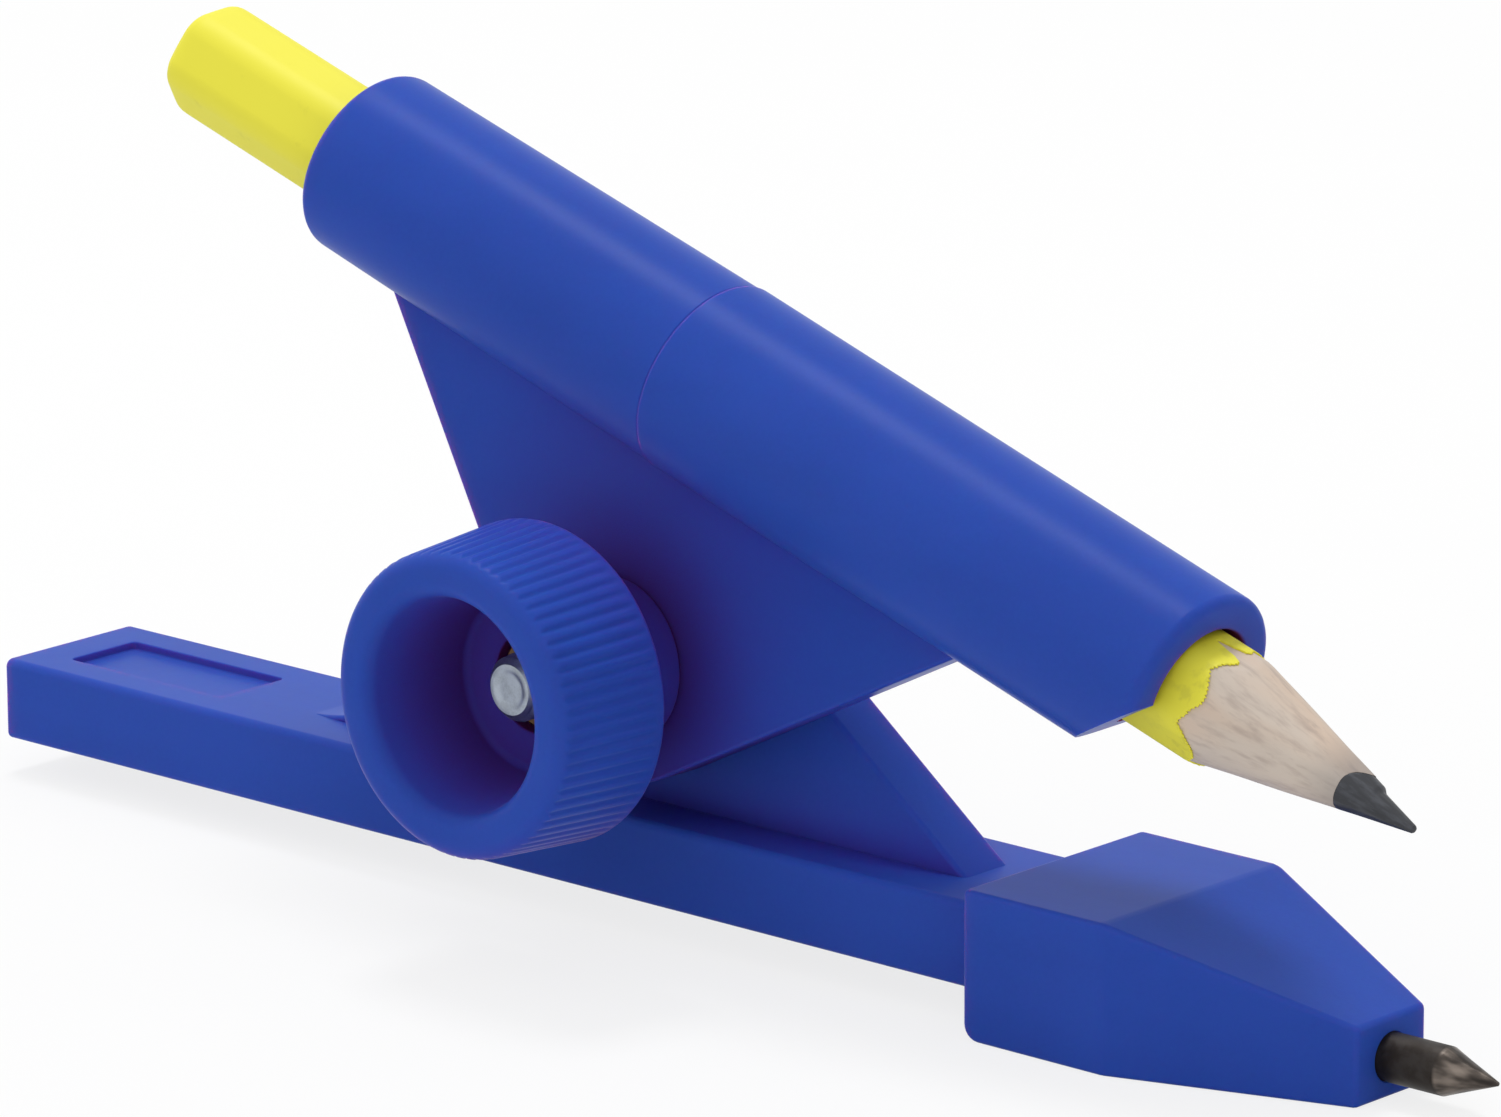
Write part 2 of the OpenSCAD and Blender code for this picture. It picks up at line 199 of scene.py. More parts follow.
class KnobSizes(bpy.types.PropertyGroup):
    """Sizes of the clamp knob, its insert and the bolt."""

    hub_length: length("Hub length", "Length of the hub behind the rim", 6.2)
    hub_radius: length("Hub radius", "Radius of the hub", 5)
    rim_radius: length("Rim radius", "Radius of the rim's rear edge", 9.6)
    rim_draft: length("Rim draft", "Loss of radius from the rear edge to the lip", 0.6)
    rear_round: length("Rear edge", "Rounding of the rim's rear edge", 0.4)
    lip_round: length("Lip", "Rounding of the lip, inside and outside", 1)
    cup_radius: length("Cup mouth", "Radius of the cup's mouth", 6.5)
    floor_radius: length("Cup floor", "Radius of the cup's floor", 5.3)
    floor_thickness: length("Floor", "Thickness of the floor ahead of the hub", 1)
    ribs: IntProperty(name="Ribs", description="Number of grip ribs round the rim", default=70, min=12)
    rib_depth: length("Rib depth", "Depth of the grooves between the ribs", 0.11)
    plain_band: length("Plain band", "Length of the plain band behind the ribs", 0.7)
    bolt_radius: length("Bolt radius", "Radius of the bolt's thread crest", 2)
    pitch: length("Thread pitch", "Pitch of the bolt's thread", 0.7)
    thread_depth: length("Thread depth", "Depth of the bolt's thread", 0.4)
    head_flats: length("Head flats", "Width of the bolt's head across its flats", 7)
    head_height: length("Head height", "Height of the bolt's head", 2.8)
    insert_chamfer: length("Insert chamfer", "Chamfer on the insert's ends", 0.3)
    insert_room: length("Insert room", "Radial room round the bolt in the insert", 0.06)


class PencilSizes(bpy.types.PropertyGroup):
    """Sizes of the pencil and the steel point."""

    flats: length("Flats", "Pencil width across its flats", 6.7)
    turn: angle("Turn", "Turn of the pencil in the tube, from a corner that points straight up", 36)
    rear: length("Rear length", "Pencil length behind the parting line", 43.5)
    front: length("Front length", "Pencil length ahead of the parting line", 54.45)
    lacquer: length("Lacquer", "Thickness of the lacquer", 0.12)
    dip: length("Dip", "Thickness of the lacquer on the dipped end", 0.5)
    dip_round: length("Dip rounding", "Depth of the dipped end's dome", 1.6)
    dip_chamfer: length("Casing chamfer", "Chamfer of the casing under the dipped end", 0.8)
    corner: length("Corner", "Rounding of the pencil's six corners", 1.8)
    lead: length("Lead", "Diameter of the lead", 2.6)
    sharp: angle("Sharpening", "Half angle of the sharpened cone", 12.8)
    swell: length("Swell", "How far the cut stands proud on its upper side", 0.22)
    swell_turn: angle("Swell turn", "Turn round the pencil at which the cut stands proudest", -32)
    shoulder: length("Shoulder", "Distance from the tip to the step on the lead's upper side", 3.0)
    edge_back: length("Lacquer edge", "Distance from the tip to the lacquer's edge on the flats", 13.6)
    scallop: length("Scallop", "How much further back the lacquer's edge lies at the corners", 0.75)
    tip: length("Tip", "Radius of the worn lead tip", 0.22)
    point_cone: length("Point cone", "Length of the steel point's ground cone", 3.5)
    point_tip: length("Point tip", "Radius of the steel point's tip", 0.12)


class Finishes(bpy.types.PropertyGroup):
    """Colours of the gauge."""

    blue: colour("Blue", "Blue of the mouldings", 0.028, 0.080, 0.435)
    blue_deep: colour("Deep blue", "Darker blue of the mouldings' flow marks", 0.025, 0.070, 0.385)
    # Painted shade: the shaded blue and the dark recess violet are laid into the mouldings' colour
    # where ambient occlusion finds them hidden from the light.
    blue_shade: colour("Shaded blue", "Violet blue of shaded surfaces", 0.052, 0.050, 0.41)
    blue_painted_recess_shade: colour("Recess", "Dusty violet inside the mouldings' recesses", 0.075, 0.010, 0.11)
    yellow: colour("Yellow", "Yellow of the pencil's lacquer", 0.83, 0.77, 0.042)
    yellow_deep: colour("Deep yellow", "Darker yellow of dents and smudges", 0.6, 0.55, 0.036)
    wood: colour("Wood", "Pale wood of the sharpened casing", 0.60, 0.515, 0.44)
    wood_warm: colour("Warm wood", "Warmer bands along the wood", 0.636, 0.49955, 0.396)
    wood_grain: colour("Wood grain", "Darker grain of the wood", 0.37, 0.29, 0.25)
    graphite: colour("Graphite", "Sharpened lead", 0.030, 0.032, 0.038)
    steel: colour("Dark steel", "Shank of the point", 0.034, 0.029, 0.026)
    scale: colour("Scale", "Brown temper scale on the point", 0.019, 0.014, 0.011)
    ground: colour("Ground steel", "Bright streaks on the ground cone", 0.21, 0.175, 0.15)
    zinc: colour("Zinc", "Plating of the bolt", 0.42, 0.47, 0.53)
    brass: colour("Brass", "Threaded insert", 0.50, 0.33, 0.11)
    floor: colour("Floor", "Pale studio floor", 0.86, 0.86, 0.86)


class StageSettings(bpy.types.PropertyGroup):
    """Camera and light."""

    azimuth: angle("Azimuth", "Camera's turn round the gauge", 42.158)
    elevation: angle("Elevation", "Camera's height above the horizon", 14.753)
    roll: angle("Roll", "Camera's roll", -0.224)
    distance: length("Distance", "Distance from the camera to the aim point", 545.0)
    aim: location("Aim", "Aim point, between the knob and the tube", -2.3, 0, 13.1)
    aim_u: number("Aim column", "Image column of the aim point", 654.47)
    aim_v: number("Aim row", "Image row of the aim point", 657.86)
    scale: number("Scale", "Image pixels per millimetre at the aim point", 16.974)
    key: number("Key", "Power of the overhead light", 3.2, "POWER")
    key_side: length("Key size", "Side of the overhead light", 220)
    key_place: location("Key place", "Middle of the overhead light", -220, 110, 850)
    fill: number("Fill", "Power of the wide light above the front", 1.5, "POWER")
    fill_side: length("Fill size", "Side of the wide light", 1200)
    fill_place: location("Fill place", "Middle of the wide light", 100, -600, 750)
    lit_point: location("Lit point", "Point of the gauge that both lights face", 0, 0, 15)
    ambient: number("Ambient", "Strength of the surrounding light", 0.66)
    floor_half: length("Floor", "Half the width of the floor", 3000)
    floor_glow: number("Floor glow", "Share of plain white in the floor as it is seen", 0.8)


GROUPS = {
    "gauge_base": BaseSizes,
    "gauge_holder": HolderSizes,
    "gauge_knob": KnobSizes,
    "gauge_pencil": PencilSizes,
    "gauge_finishes": Finishes,
    "gauge_stage": StageSettings,
}


class Wire:
    """One output socket of a material. Arithmetic on it adds Math nodes."""

    def __init__(self, socket):
        self.socket = socket
        self.tree = socket.id_data

    def maths(self, operation, *values):
        """Adds a Math node over wires and numbers."""
        node = self.tree.nodes.new("ShaderNodeMath")
        node.operation = operation
        for slot, value in zip(node.inputs, values):
            plug(slot, value)
        return Wire(node.outputs[0])

    def __add__(self, other):
        return self.maths("ADD", self, other)

    def __sub__(self, other):
        return self.maths("SUBTRACT", self, other)

    def __rsub__(self, other):
        return self.maths("SUBTRACT", other, self)

    def __mul__(self, other):
        return self.maths("MULTIPLY", self, other)

    __radd__ = __add__
    __rmul__ = __mul__


def plug(slot, value):
    """Links a wire to an input socket, or sets the socket's own value."""
    if isinstance(value, Wire):
        slot.id_data.links.new(value.socket, slot)
    elif hasattr(value, "__len__") and slot.type == "RGBA":
        slot.default_value = (*value[:3], 1)
    else:
        slot.default_value = value


class Graph:
    """A node tree under construction."""

    def __init__(self, tree):
        self.tree = tree

    def node(self, kind, settings=None, inputs=None, output=0):
        """Adds a node. Its settings are set first, then the values or links of its sockets."""
        node = self.tree.nodes.new(kind)
        for name, value in (settings or {}).items():
            setattr(node, name, value)
        for name, value in (inputs or {}).items():
            plug(node.inputs[name], value)
        return Wire(node.outputs[output])

    def shown(self):
        """1 for what the camera sees, straight, mirrored or through glass, and 0 for plain light."""
        rays = "Is Camera Ray", "Is Glossy Ray", "Is Transmission Ray"
        seen, mirrored, through = [self.node("ShaderNodeLightPath", output=ray) for ray in rays]
        return seen.maths("MAXIMUM", seen.maths("MAXIMUM", seen, mirrored), through)

    def ramp(self, value, low, high):
        """0 below low, 1 above high and smooth between."""
        return self.node("ShaderNodeMapRange", {"interpolation_type": "SMOOTHSTEP"},
                         {"Value": value, "From Min": low, "From Max": high})


class Finish(Graph):
    """A material with one Principled shader, drawn in the frame that its piece was made in."""

    def __init__(self, name, own_frame=None):
        self.material = bpy.data.materials.new(name)
        self.material.use_nodes = True
        self.shader = self.material.node_tree.nodes["Principled BSDF"]
        self.own_frame = own_frame or Matrix.Identity(4)
        super().__init__(self.material.node_tree)

    def coordinates(self):
        """Places on the piece, in metres, in the piece's own frame."""
        place = self.node("ShaderNodeTexCoord", output="Object")
        return self.node("ShaderNodeMapping", {"vector_type": "TEXTURE"}, {
            "Vector": place,
            "Location": self.own_frame.to_translation(),
            "Rotation": self.own_frame.to_euler()})

    def stretched(self, factors):
        """Places multiplied along each axis, so that a texture runs along the piece."""
        return self.node("ShaderNodeMapping", {"vector_type": "POINT"},
                         {"Vector": self.coordinates(), "Scale": factors})

    def noise(self, place, scale, detail=2.0, rough=0.5):
        """Noise with about so many grains to the metre."""
        return self.node("ShaderNodeTexNoise", None,
                         {"Vector": place, "Scale": scale, "Detail": detail, "Roughness": rough})

    def streaks(self, per_metre, detail=2.0, rough=0.5):
        """Noise drawn out along the piece, with so many grains to the metre along each axis."""
        return self.noise(self.stretched(per_metre), 1, detail, rough)

    def along(self):
        """Distance along the piece's own z axis, in metres."""
        return self.node("ShaderNodeSeparateXYZ", None, {"Vector": self.coordinates()}, output="Z")

    def mix(self, factor, first, second):
        """Colour between two colours."""
        return self.node("ShaderNodeMix", {"data_type": "RGBA"},
                         {"Factor": factor, 6: first, 7: second}, output=2)

    def bump(self, height, strength, depth):
        """Normal of a surface raised by a height between 0 and 1."""
        return self.node("ShaderNodeBump", None,
                         {"Height": height, "Strength": strength, "Distance": depth})

    def done(self, **sockets):
        """Sets or links the shader's sockets and returns the material."""
        for name, value in sockets.items():
            plug(self.shader.inputs[name.replace("_", " ")], value)
        return self.material


def toned(base, factor):
    """A colour made lighter or darker."""
    return [factor * channel for channel in base]


def blue_finish(name, look, alone=False):
    """Satin moulded plastic: flow marks, a soft orange peel and painted violet shade in its recesses.

    The painted shade follows the recesses of the piece alone, or those that it forms with the others.
    """
    finish = Finish(name)
    place = finish.coordinates()
    cloud = finish.noise(place, 70, 3)
    flow = finish.streaks((35, 300, 300), 3)
    speck = finish.noise(place, 3500, 2)
    tone = cloud * 0.5 + flow * 0.3 + speck * 0.2
    peel = finish.noise(place, 700, 1)
    grain = finish.noise(place, 6000, 2)
    recess_reach = 12 * MM
    # Painted shade: ambient occlusion turns the colour to a violet shaded blue where the surface is
    # partly hidden, and to a dark violet deep in recesses and between parts.
    open_air = finish.node("ShaderNodeAmbientOcclusion", {"samples": 6, "only_local": alone},
                           {"Distance": recess_reach}, output="AO")
    exposed = finish.ramp(open_air, 0.12, 0.55)
    bare_colour = finish.mix(finish.ramp(tone, 0.32, 0.68), look.blue_deep, look.blue)
    shaded = finish.mix(finish.ramp(open_air, 0.45, 0.92), look.blue_shade, bare_colour)
    return finish.done(
        Base_Color=finish.mix(exposed, look.blue_painted_recess_shade, shaded),
        Roughness=0.45 + cloud * 0.07 + speck * 0.05 - exposed * 0.18,
        Specular_IOR_Level=0.035,
        Subsurface_Weight=0.5,
        Subsurface_Radius=(4 * MM, 0.3 * MM, 0.8 * MM),
        Subsurface_Scale=1,
        Normal=finish.bump(peel * 0.7 + grain * 0.3, 0.35, 0.03 * MM))


def blue_shared(look):
    """The blue that the holder and the knob share, made once."""
    name = "satin_blue"
    return bpy.data.materials.get(name) or blue_finish(name, look)


def steel_finish(look, cone_start):
    """Dark tempered steel with brown scale, and bright streaks along its ground cone."""
    finish = Finish("tempered_steel", POINT_FRAME)
    scale = finish.noise(finish.coordinates(), 900, 4, 0.6)
    streaks = finish.streaks((1500, 1500, 90))
    ground = finish.ramp(finish.along(), cone_start - 0.1 * MM, cone_start + 0.15 * MM)
    shank = finish.mix(finish.ramp(scale, 0.38, 0.66), look.scale, look.steel)
    cone = finish.mix(finish.ramp(streaks, 0.3, 0.75), look.steel, look.ground)
    return finish.done(
        Base_Color=finish.mix(ground, shank, cone),
        Metallic=0.75 + ground * 0.2,
        Roughness=0.5 - ground * 0.14 + scale * 0.1 - streaks * 0.08,
        Normal=finish.bump(streaks * 0.6 + scale * 0.4, 0.25, 0.02 * MM))


def zinc_finish(look):
    """Bright zinc plating with a fine cloudy spangle."""
    finish = Finish("zinc_plating", BOLT_FRAME)
    place = finish.coordinates()
    cloud = finish.noise(place, 1400, 3)
    fine = finish.noise(place, 9000, 2)
    spangle = finish.ramp(cloud * 0.7 + fine * 0.3, 0.35, 0.62)
    return finish.done(
        Base_Color=finish.mix(spangle, toned(look.zinc, 0.75), look.zinc),
        Metallic=0.9,
        Roughness=0.24 + cloud * 0.16,
        Normal=finish.bump(cloud * 0.5 + fine * 0.5, 0.2, 0.01 * MM))


def brass_finish(look):
    """Turned brass with fine rings left by the tool."""
    finish = Finish("turned_brass", BOLT_FRAME)
    place = finish.coordinates()
    rings = finish.node("ShaderNodeTexWave", {"wave_type": "RINGS", "rings_direction": "Z"},
                        {"Vector": place, "Scale": 3000, "Distortion": 1.5, "Detail": 2})
    tarnish = finish.noise(place, 700, 3)
    return finish.done(
        Base_Color=finish.mix(finish.ramp(tarnish, 0.35, 0.65), toned(look.brass, 0.6), look.brass),
        Metallic=1.0,
        Roughness=0.26 + tarnish * 0.16 + rings * 0.06,
        Normal=finish.bump(rings, 0.2, 0.01 * MM))


def wood_finish(look, lead_start):
    """Pale sharpened wood: grain along the pencil, fine pores and graphite dust by the lead."""
    finish = Finish("casing_wood", TUBE_FRAME)
    grain = finish.streaks((1600, 1600, 24), 3, 0.6)
    band = finish.streaks((330, 330, 26))
    pores = finish.streaks((3800, 3800, 260), 2, 0.6)
    streak = finish.ramp(grain, 0.45, 0.75) * 0.6 + finish.ramp(pores, 0.58, 0.75) * 0.25
    pale = finish.mix(finish.ramp(band, 0.35, 0.65), look.wood, look.wood_warm)
    bare_colour = finish.mix(streak, pale, look.wood_grain)
    near_lead = finish.ramp(finish.along(), lead_start - 3 * MM, lead_start + 0.5 * MM)
    dust = near_lead * (0.2 + band * 0.5)
    return finish.done(
        Base_Color=finish.mix(dust, bare_colour, toned(look.graphite, 4)),
        Roughness=0.62 + grain * 0.2,
        Normal=finish.bump(grain * 0.6 + pores * 0.4, 0.35, 0.03 * MM))


def graphite_finish(look):
    """Sharpened lead with a dull sheen and streaks from the blade."""
    finish = Finish("sharpened_lead", TUBE_FRAME)
    streaks = finish.streaks((3000, 3000, 260), 3, 0.6)
    bright = finish.ramp(streaks, 0.42, 0.7)
    return finish.done(
        Base_Color=finish.mix(bright, look.graphite, toned(look.graphite, 1.9)),
        Metallic=0.35,
        Roughness=0.36 + streaks * 0.2,
        Normal=finish.bump(streaks, 0.3, 0.015 * MM))


def lacquer_finish(look, edge):
    """Thin lacquer with faint smudges, scuffs by its sharpened edge and the wood's grain beneath."""
    finish = Finish("worn_yellow", TUBE_FRAME)
    place = finish.coordinates()
    smudge = finish.noise(place, 420, 4, 0.6)
    rubbed = finish.ramp(finish.noise(place, 900, 3, 0.6), 0.5, 0.68)
    scuff = finish.ramp(finish.along(), edge - 5 * MM, edge) * rubbed
    dull = finish.ramp(smudge, 0.6, 0.78) * 0.45 + scuff * 0.55
    grain = finish.streaks((1100, 1100, 60), 3)
    return finish.done(
        Base_Color=finish.mix(dull, look.yellow, look.yellow_deep),
        Roughness=0.52 + smudge * 0.12,
        Normal=finish.bump(grain, 0.15, 0.02 * MM))


def rounded(corners, steps=6):
    """Closed outline through (x, y, round) corners, with each round corner drawn as an arc."""
    outline = []
    for i, (x, y, radius) in enumerate(corners):
        here = Vector((x, y))
        if not radius:
            outline.append(here)
            continue
        back = (Vector(corners[i - 1][:2]) - here).normalized()
        ahead = (Vector(corners[(i + 1) % len(corners)][:2]) - here).normalized()
        half = back.angle(ahead) / 2
        reach = radius / math.tan(half)
        centre = here + (back + ahead).normalized() * (radius / math.sin(half))
        first = here + back * reach - centre
        last = here + ahead * reach - centre
        sweep = math.atan2(first.x * last.y - first.y * last.x, first.dot(last))
        for step in range(steps + 1):
            outline.append(centre + Matrix.Rotation(sweep * step / steps, 2) @ first)
    return outline


def inset(outline, distance):
    """A counter-clockwise outline moved inward."""
    moved = []
    for i, here in enumerate(outline):
        before = (here - outline[i - 1]).normalized()
        after = (outline[(i + 1) % len(outline)] - here).normalized()
        inward = Vector((-before.y - after.y, before.x + after.x)).normalized()
        mitre = inward.dot(Vector((-before.y, before.x)))
        moved.append(here + inward * (distance / mitre))
    return moved


def rim_steps(radius, steps=4):
    """(inset, depth) pairs of a quarter round, from the flat face to the side."""
    turns = [math.pi / 2 * step / steps for step in range(steps + 1)]
    return [(radius * (1 - math.sin(turn)), radius * (1 - math.cos(turn))) for turn in turns]


def skin(rings, loop=False):
    """Closed mesh over rings of points. The last ring joins the first, or both ends are capped."""
    bm = bmesh.new()
    rows = [[bm.verts.new(point) for point in ring] for ring in rings]
    pairs = list(zip(rows, rows[1:]))
    if loop:
        pairs.append((rows[-1], rows[0]))
    else:
        bm.faces.new(reversed(rows[0]))
        bm.faces.new(rows[-1])
    for one, two in pairs:
        for i in range(len(one)):
            bm.faces.new((one[i - 1], one[i], two[i], two[i - 1]))
    bmesh.ops.recalc_face_normals(bm, faces=bm.faces)
    return bm


def turned(profile, segments, relief=None, loop=False):
    """Points (radius, along) turned about local z. relief(turn, radius, along) may change a radius."""
    rings = []
    for radius, along in profile:
        ring = []
        for i in range(segments):
            turn = 2 * math.pi * i / segments
            reach = relief(turn, radius, along) if relief else radius
            ring.append(polar(reach, turn, along))
        rings.append(ring)
    return skin(rings, loop)


def plate(outline, low, high, edge, point):
    """Outline grown from low to high with both rims rounded. point(u, v, level) gives the place."""
    levels = [(shift, low + depth) for shift, depth in rim_steps(edge)]
    levels += [(shift, high - depth) for shift, depth in reversed(rim_steps(edge))]
    return skin([[point(p.x, p.y, level) for p in inset(outline, shift)] for shift, level in levels])


def loose(bm):
    """A passing object round a bmesh, for one joining or cutting step."""
    mesh = bpy.data.meshes.new("passing")
    bm.to_mesh(mesh)
    bm.free()
    obj = bpy.data.objects.new("passing", mesh)
    bpy.context.scene.collection.objects.link(obj)
    return obj


def mould(body, joined=(), cut=()):
    """One closed bmesh out of a body, the shapes joined to it and the shapes cut out of it."""
    owner = loose(body)
    tools = []
    for operation, shapes in (("UNION", joined), ("DIFFERENCE", cut)):
        for shape in shapes:
            tools.append(loose(shape))
            step = owner.modifiers.new(operation.lower(), "BOOLEAN")
            step.operation = operation
            step.solver = "EXACT"
            step.object = tools[-1]
    bpy.context.view_layer.update()
    result = bmesh.new()
    result.from_object(owner, bpy.context.evaluated_depsgraph_get())
    for obj in [owner, *tools]:
        bpy.data.objects.remove(obj)
    weld = 0.002 * MM
    bmesh.ops.remove_doubles(result, verts=result.verts, dist=weld)
    bmesh.ops.dissolve_degenerate(result, edges=result.edges, dist=weld)
    return result


def finished(name, bm, body, node, material, matrix=None, crease=32):
    """Makes the piece, shades it, ties it to its body and hides the solid that it stands for."""
    if matrix:
        bm.transform(matrix)
    mesh = bpy.data.meshes.new(name)
    bm.to_mesh(mesh)
    bm.free()
    mesh.shade_smooth()
    mesh.set_sharp_from_angle(angle=math.radians(crease))
    mesh.materials.append(material)
    obj = bpy.data.objects.new(name, mesh)
    bpy.context.scene.collection.objects.link(obj)
    obj.modifiers.new("even_shading", "WEIGHTED_NORMAL").keep_sharp = True
    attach(obj, body)
    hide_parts(node)


def share(value, low, high):
    """0 below low, 1 above high and straight between."""
    return min(max((value - low) / (high - low), 0), 1)


def smooth(value, low, high):
    """0 below low, 1 above high and smooth between."""
    part = share(value, low, high)
    return part * part * (3 - 2 * part)


def spread(start, end, count):
    """Evenly spaced values from start to end, both included."""
    return [start + (end - start) * k / count for k in range(count + 1)]


def polar(reach, turn, along):
    """A place at some distance from local z, at a turn round it and a station along it."""
    return (reach * math.cos(turn), reach * math.sin(turn), along)


def hexagon_reach(turn, flats, corner=0.0):
    """Distance from the axis to a hexagon's side, with a corner at turn 0 and its corners rounded."""
    apothem = flats / 2
    off = (turn + math.pi / 6) % (math.pi / 3) - math.pi / 6
    from_flat = math.pi / 6 - abs(off)
    if corner:
        ends = math.atan((apothem - corner) * math.tan(math.pi / 6) / apothem)
        if from_flat > ends:
            centre = (apothem - corner) / math.cos(math.pi / 6)
            side = centre * math.sin(off)
            return centre * math.cos(off) + math.sqrt(max(corner ** 2 - side ** 2, 0))
    return apothem / math.cos(from_flat)


def bar_shape(size):
    """The flat bar, rounded along its edges and at its rear end."""
    half = size.bar_width / 2
    section = rounded([
        (-half, 0, size.low_round),
        (half, 0, size.low_round),
        (half, size.bar_height, size.top_round),
        (-half, size.bar_height, size.top_round)])
    rear = BASE_LOW.x
    stations = [(shift, rear + depth) for shift, depth in rim_steps(size.end_round)]
    stations.append((0, size.block_start + MM))
    return skin([[(x, p.x, p.y) for p in inset(section, shift)] for shift, x in stations])


def block_shape(size):
    """The nose block: a parallel part and a nose that tapers in plan and from above."""
    low = BASE_LOW.z
    top = size.bar_height + size.block_over
    taper = size.block_start + size.block_flat
    wide = BASE_HIGH.y
    tip = size.nose_width / 2
    plan = [
        (size.block_start, wide, top),
        (taper, wide, top),
        (BASE_HIGH.x, tip, low + size.nose_height)]
    rings = []
    for x, half, high in plan:
        rings.append([(x, -half, low), (x, half, low), (x, half, high), (x, -half, high)])
    bm = skin(rings)
    heel = [
        edge for edge in bm.edges
        if all(vert.co.x < size.block_start + MM and vert.co.z < low + MM for vert in edge.verts)]
    soften = {"offset_type": "OFFSET", "profile": 0.5, "affect": "EDGES", "clamp_overlap": True}
    rear_round = bmesh.ops.bevel(bm, geom=heel, offset=size.block_round, segments=6, **soften)
    least_turn = math.radians(16)
    others = [
        edge for edge in bm.edges
        if edge.calc_face_angle(0) > least_turn
        and not all(face in rear_round["faces"] for face in edge.link_faces)]
    bmesh.ops.bevel(bm, geom=others, offset=size.edge_round, segments=4, **soften)
    bmesh.ops.recalc_face_normals(bm, faces=bm.faces)
    return bm


def lug_shape(size):
    """The upright lug: a round head, two straight flanks and a blend at the rear foot."""
    rise = PIVOT.z - size.bar_height
    slope = size.lug_slope
    apex = rise + size.lug_radius / math.cos(slope)
    foot = apex / math.tan(slope)
    # The foot's blend starts a little below the bar's top, so that it runs out into it.
    sink = 0.04 * MM
    root = -2 * MM
    far = -foot - size.toe_radius * math.tan(slope / 2) - MM
    front = foot - root / math.tan(slope)
    outline = rounded([
        (front, root, 0),
        (0, apex, size.lug_radius),
        (-foot - sink / math.tan(slope), -sink, size.toe_radius),
        (far, -sink, 0),
        (far, root, 0)], steps=24)
    half = size.lug_thickness / 2
    return plate(outline, -half, half, size.edge_round, lambda u, v, y: (u, -y, size.bar_height + v))


def along_bolt(bm):
    """Moves a shape that was turned about local z onto the clamp axis."""
    bm.transform(BOLT_FRAME)
    return bm


def hole_cutter(radius, low, high):
    """A drill with a small countersink at both ends."""
    mouth = 0.12 * MM
    return turned([
        (radius + 4 * mouth, low - 3 * mouth),
        (radius, low + mouth),
        (radius, high - mouth),
        (radius + 4 * mouth, high + 3 * mouth)], segments=72)


class GAUGE_OT_base(bpy.types.Operator):
    """Makes the base moulding: bar, nose block, lug and the boss for the bolt's head"""

    bl_idname = "gauge.base"
    bl_label = "Base moulding"

    def execute(self, context):
        size = context.scene.gauge_base
        knob = context.scene.gauge_knob
        half = size.lug_thickness / 2
        boss_end = -BOLT_HIGH.y
        # The boss is turned about a thin core, which the bolt's hole takes away.
        core = knob.bolt_radius / 10
        boss = turned(rounded([
            (core, boss_end, 0),
            (size.boss_radius, boss_end, size.edge_round),
            (size.boss_radius, 0, 0),
            (core, 0, 0)]), segments=96)
        pocket = skin([
            [(p.x, p.y, level) for p in self.head_outline(knob, size.head_room)]
            for level in (boss_end - MM, boss_end + knob.head_height)])
        bolt_hole = hole_cutter(knob.bolt_radius + size.bolt_room, -half, half)
        bm = mould(
            bar_shape(size),
            joined=[block_shape(size), lug_shape(size), along_bolt(boss)],
            cut=[self.panel(size), along_bolt(pocket), along_bolt(bolt_hole), self.point_hole()])
        material = blue_finish("satin_blue_base", context.scene.gauge_finishes, alone=True)
        finished("base_moulding", bm, "base", "base_body", material)
        return {"FINISHED"}

    @staticmethod
    def point_hole():
        """The hole that the point is pressed into, with a small countersink in the nose's face."""
        slack = 0.02 * MM
        start = BASE_HIGH.x - POINT_LOW.x - 0.05 * MM
        mouth = 0.43 * MM
        reach = POINT_RADIUS + slack
        bm = turned([(reach, 0), (reach, start), (reach + mouth, start + mouth)], segments=72)
        bm.transform(POINT_FRAME)
        return bm

    @staticmethod
    def head_outline(knob, room):
        """The hexagon that holds the bolt's head, with a little room and soft corners."""
        reach = (knob.head_flats / 2 + room) / math.cos(math.pi / 6)
        corner = 0.15 * MM
        turns = [math.pi / 3 * k for k in range(6)]
        return rounded([(reach * math.cos(turn), reach * math.sin(turn), corner) for turn in turns])

    @staticmethod
    def panel(size):
        """The shallow panel, with slightly drawn walls and soft corners."""
        start = BASE_LOW.x + size.panel_margin
        half = size.panel_width / 2
        corner = 0.35 * MM
        outline = rounded([
            (start, -half, corner),
            (start + size.panel_length, -half, corner),
            (start + size.panel_length, half, corner),
            (start, half, corner)], 4)
        top = size.bar_height
        floor = top - size.panel_depth
        brim = 0.14 * MM
        # How far the wall stands in from the outline, from the floor's fillet up to the brim.
        levels = [
            (0.2 * MM, floor),
            (0.06 * MM, floor + 0.06 * MM),
            (0.02 * MM, floor + 0.15 * MM),
            (0, top - brim),
            (-0.04 * MM, top - 0.04 * MM),
            (-brim, top + 0.01 * MM),
            (-brim, top + MM)]
        return skin([[(p.x, p.y, z) for p in inset(outline, shift)] for shift, z in levels])


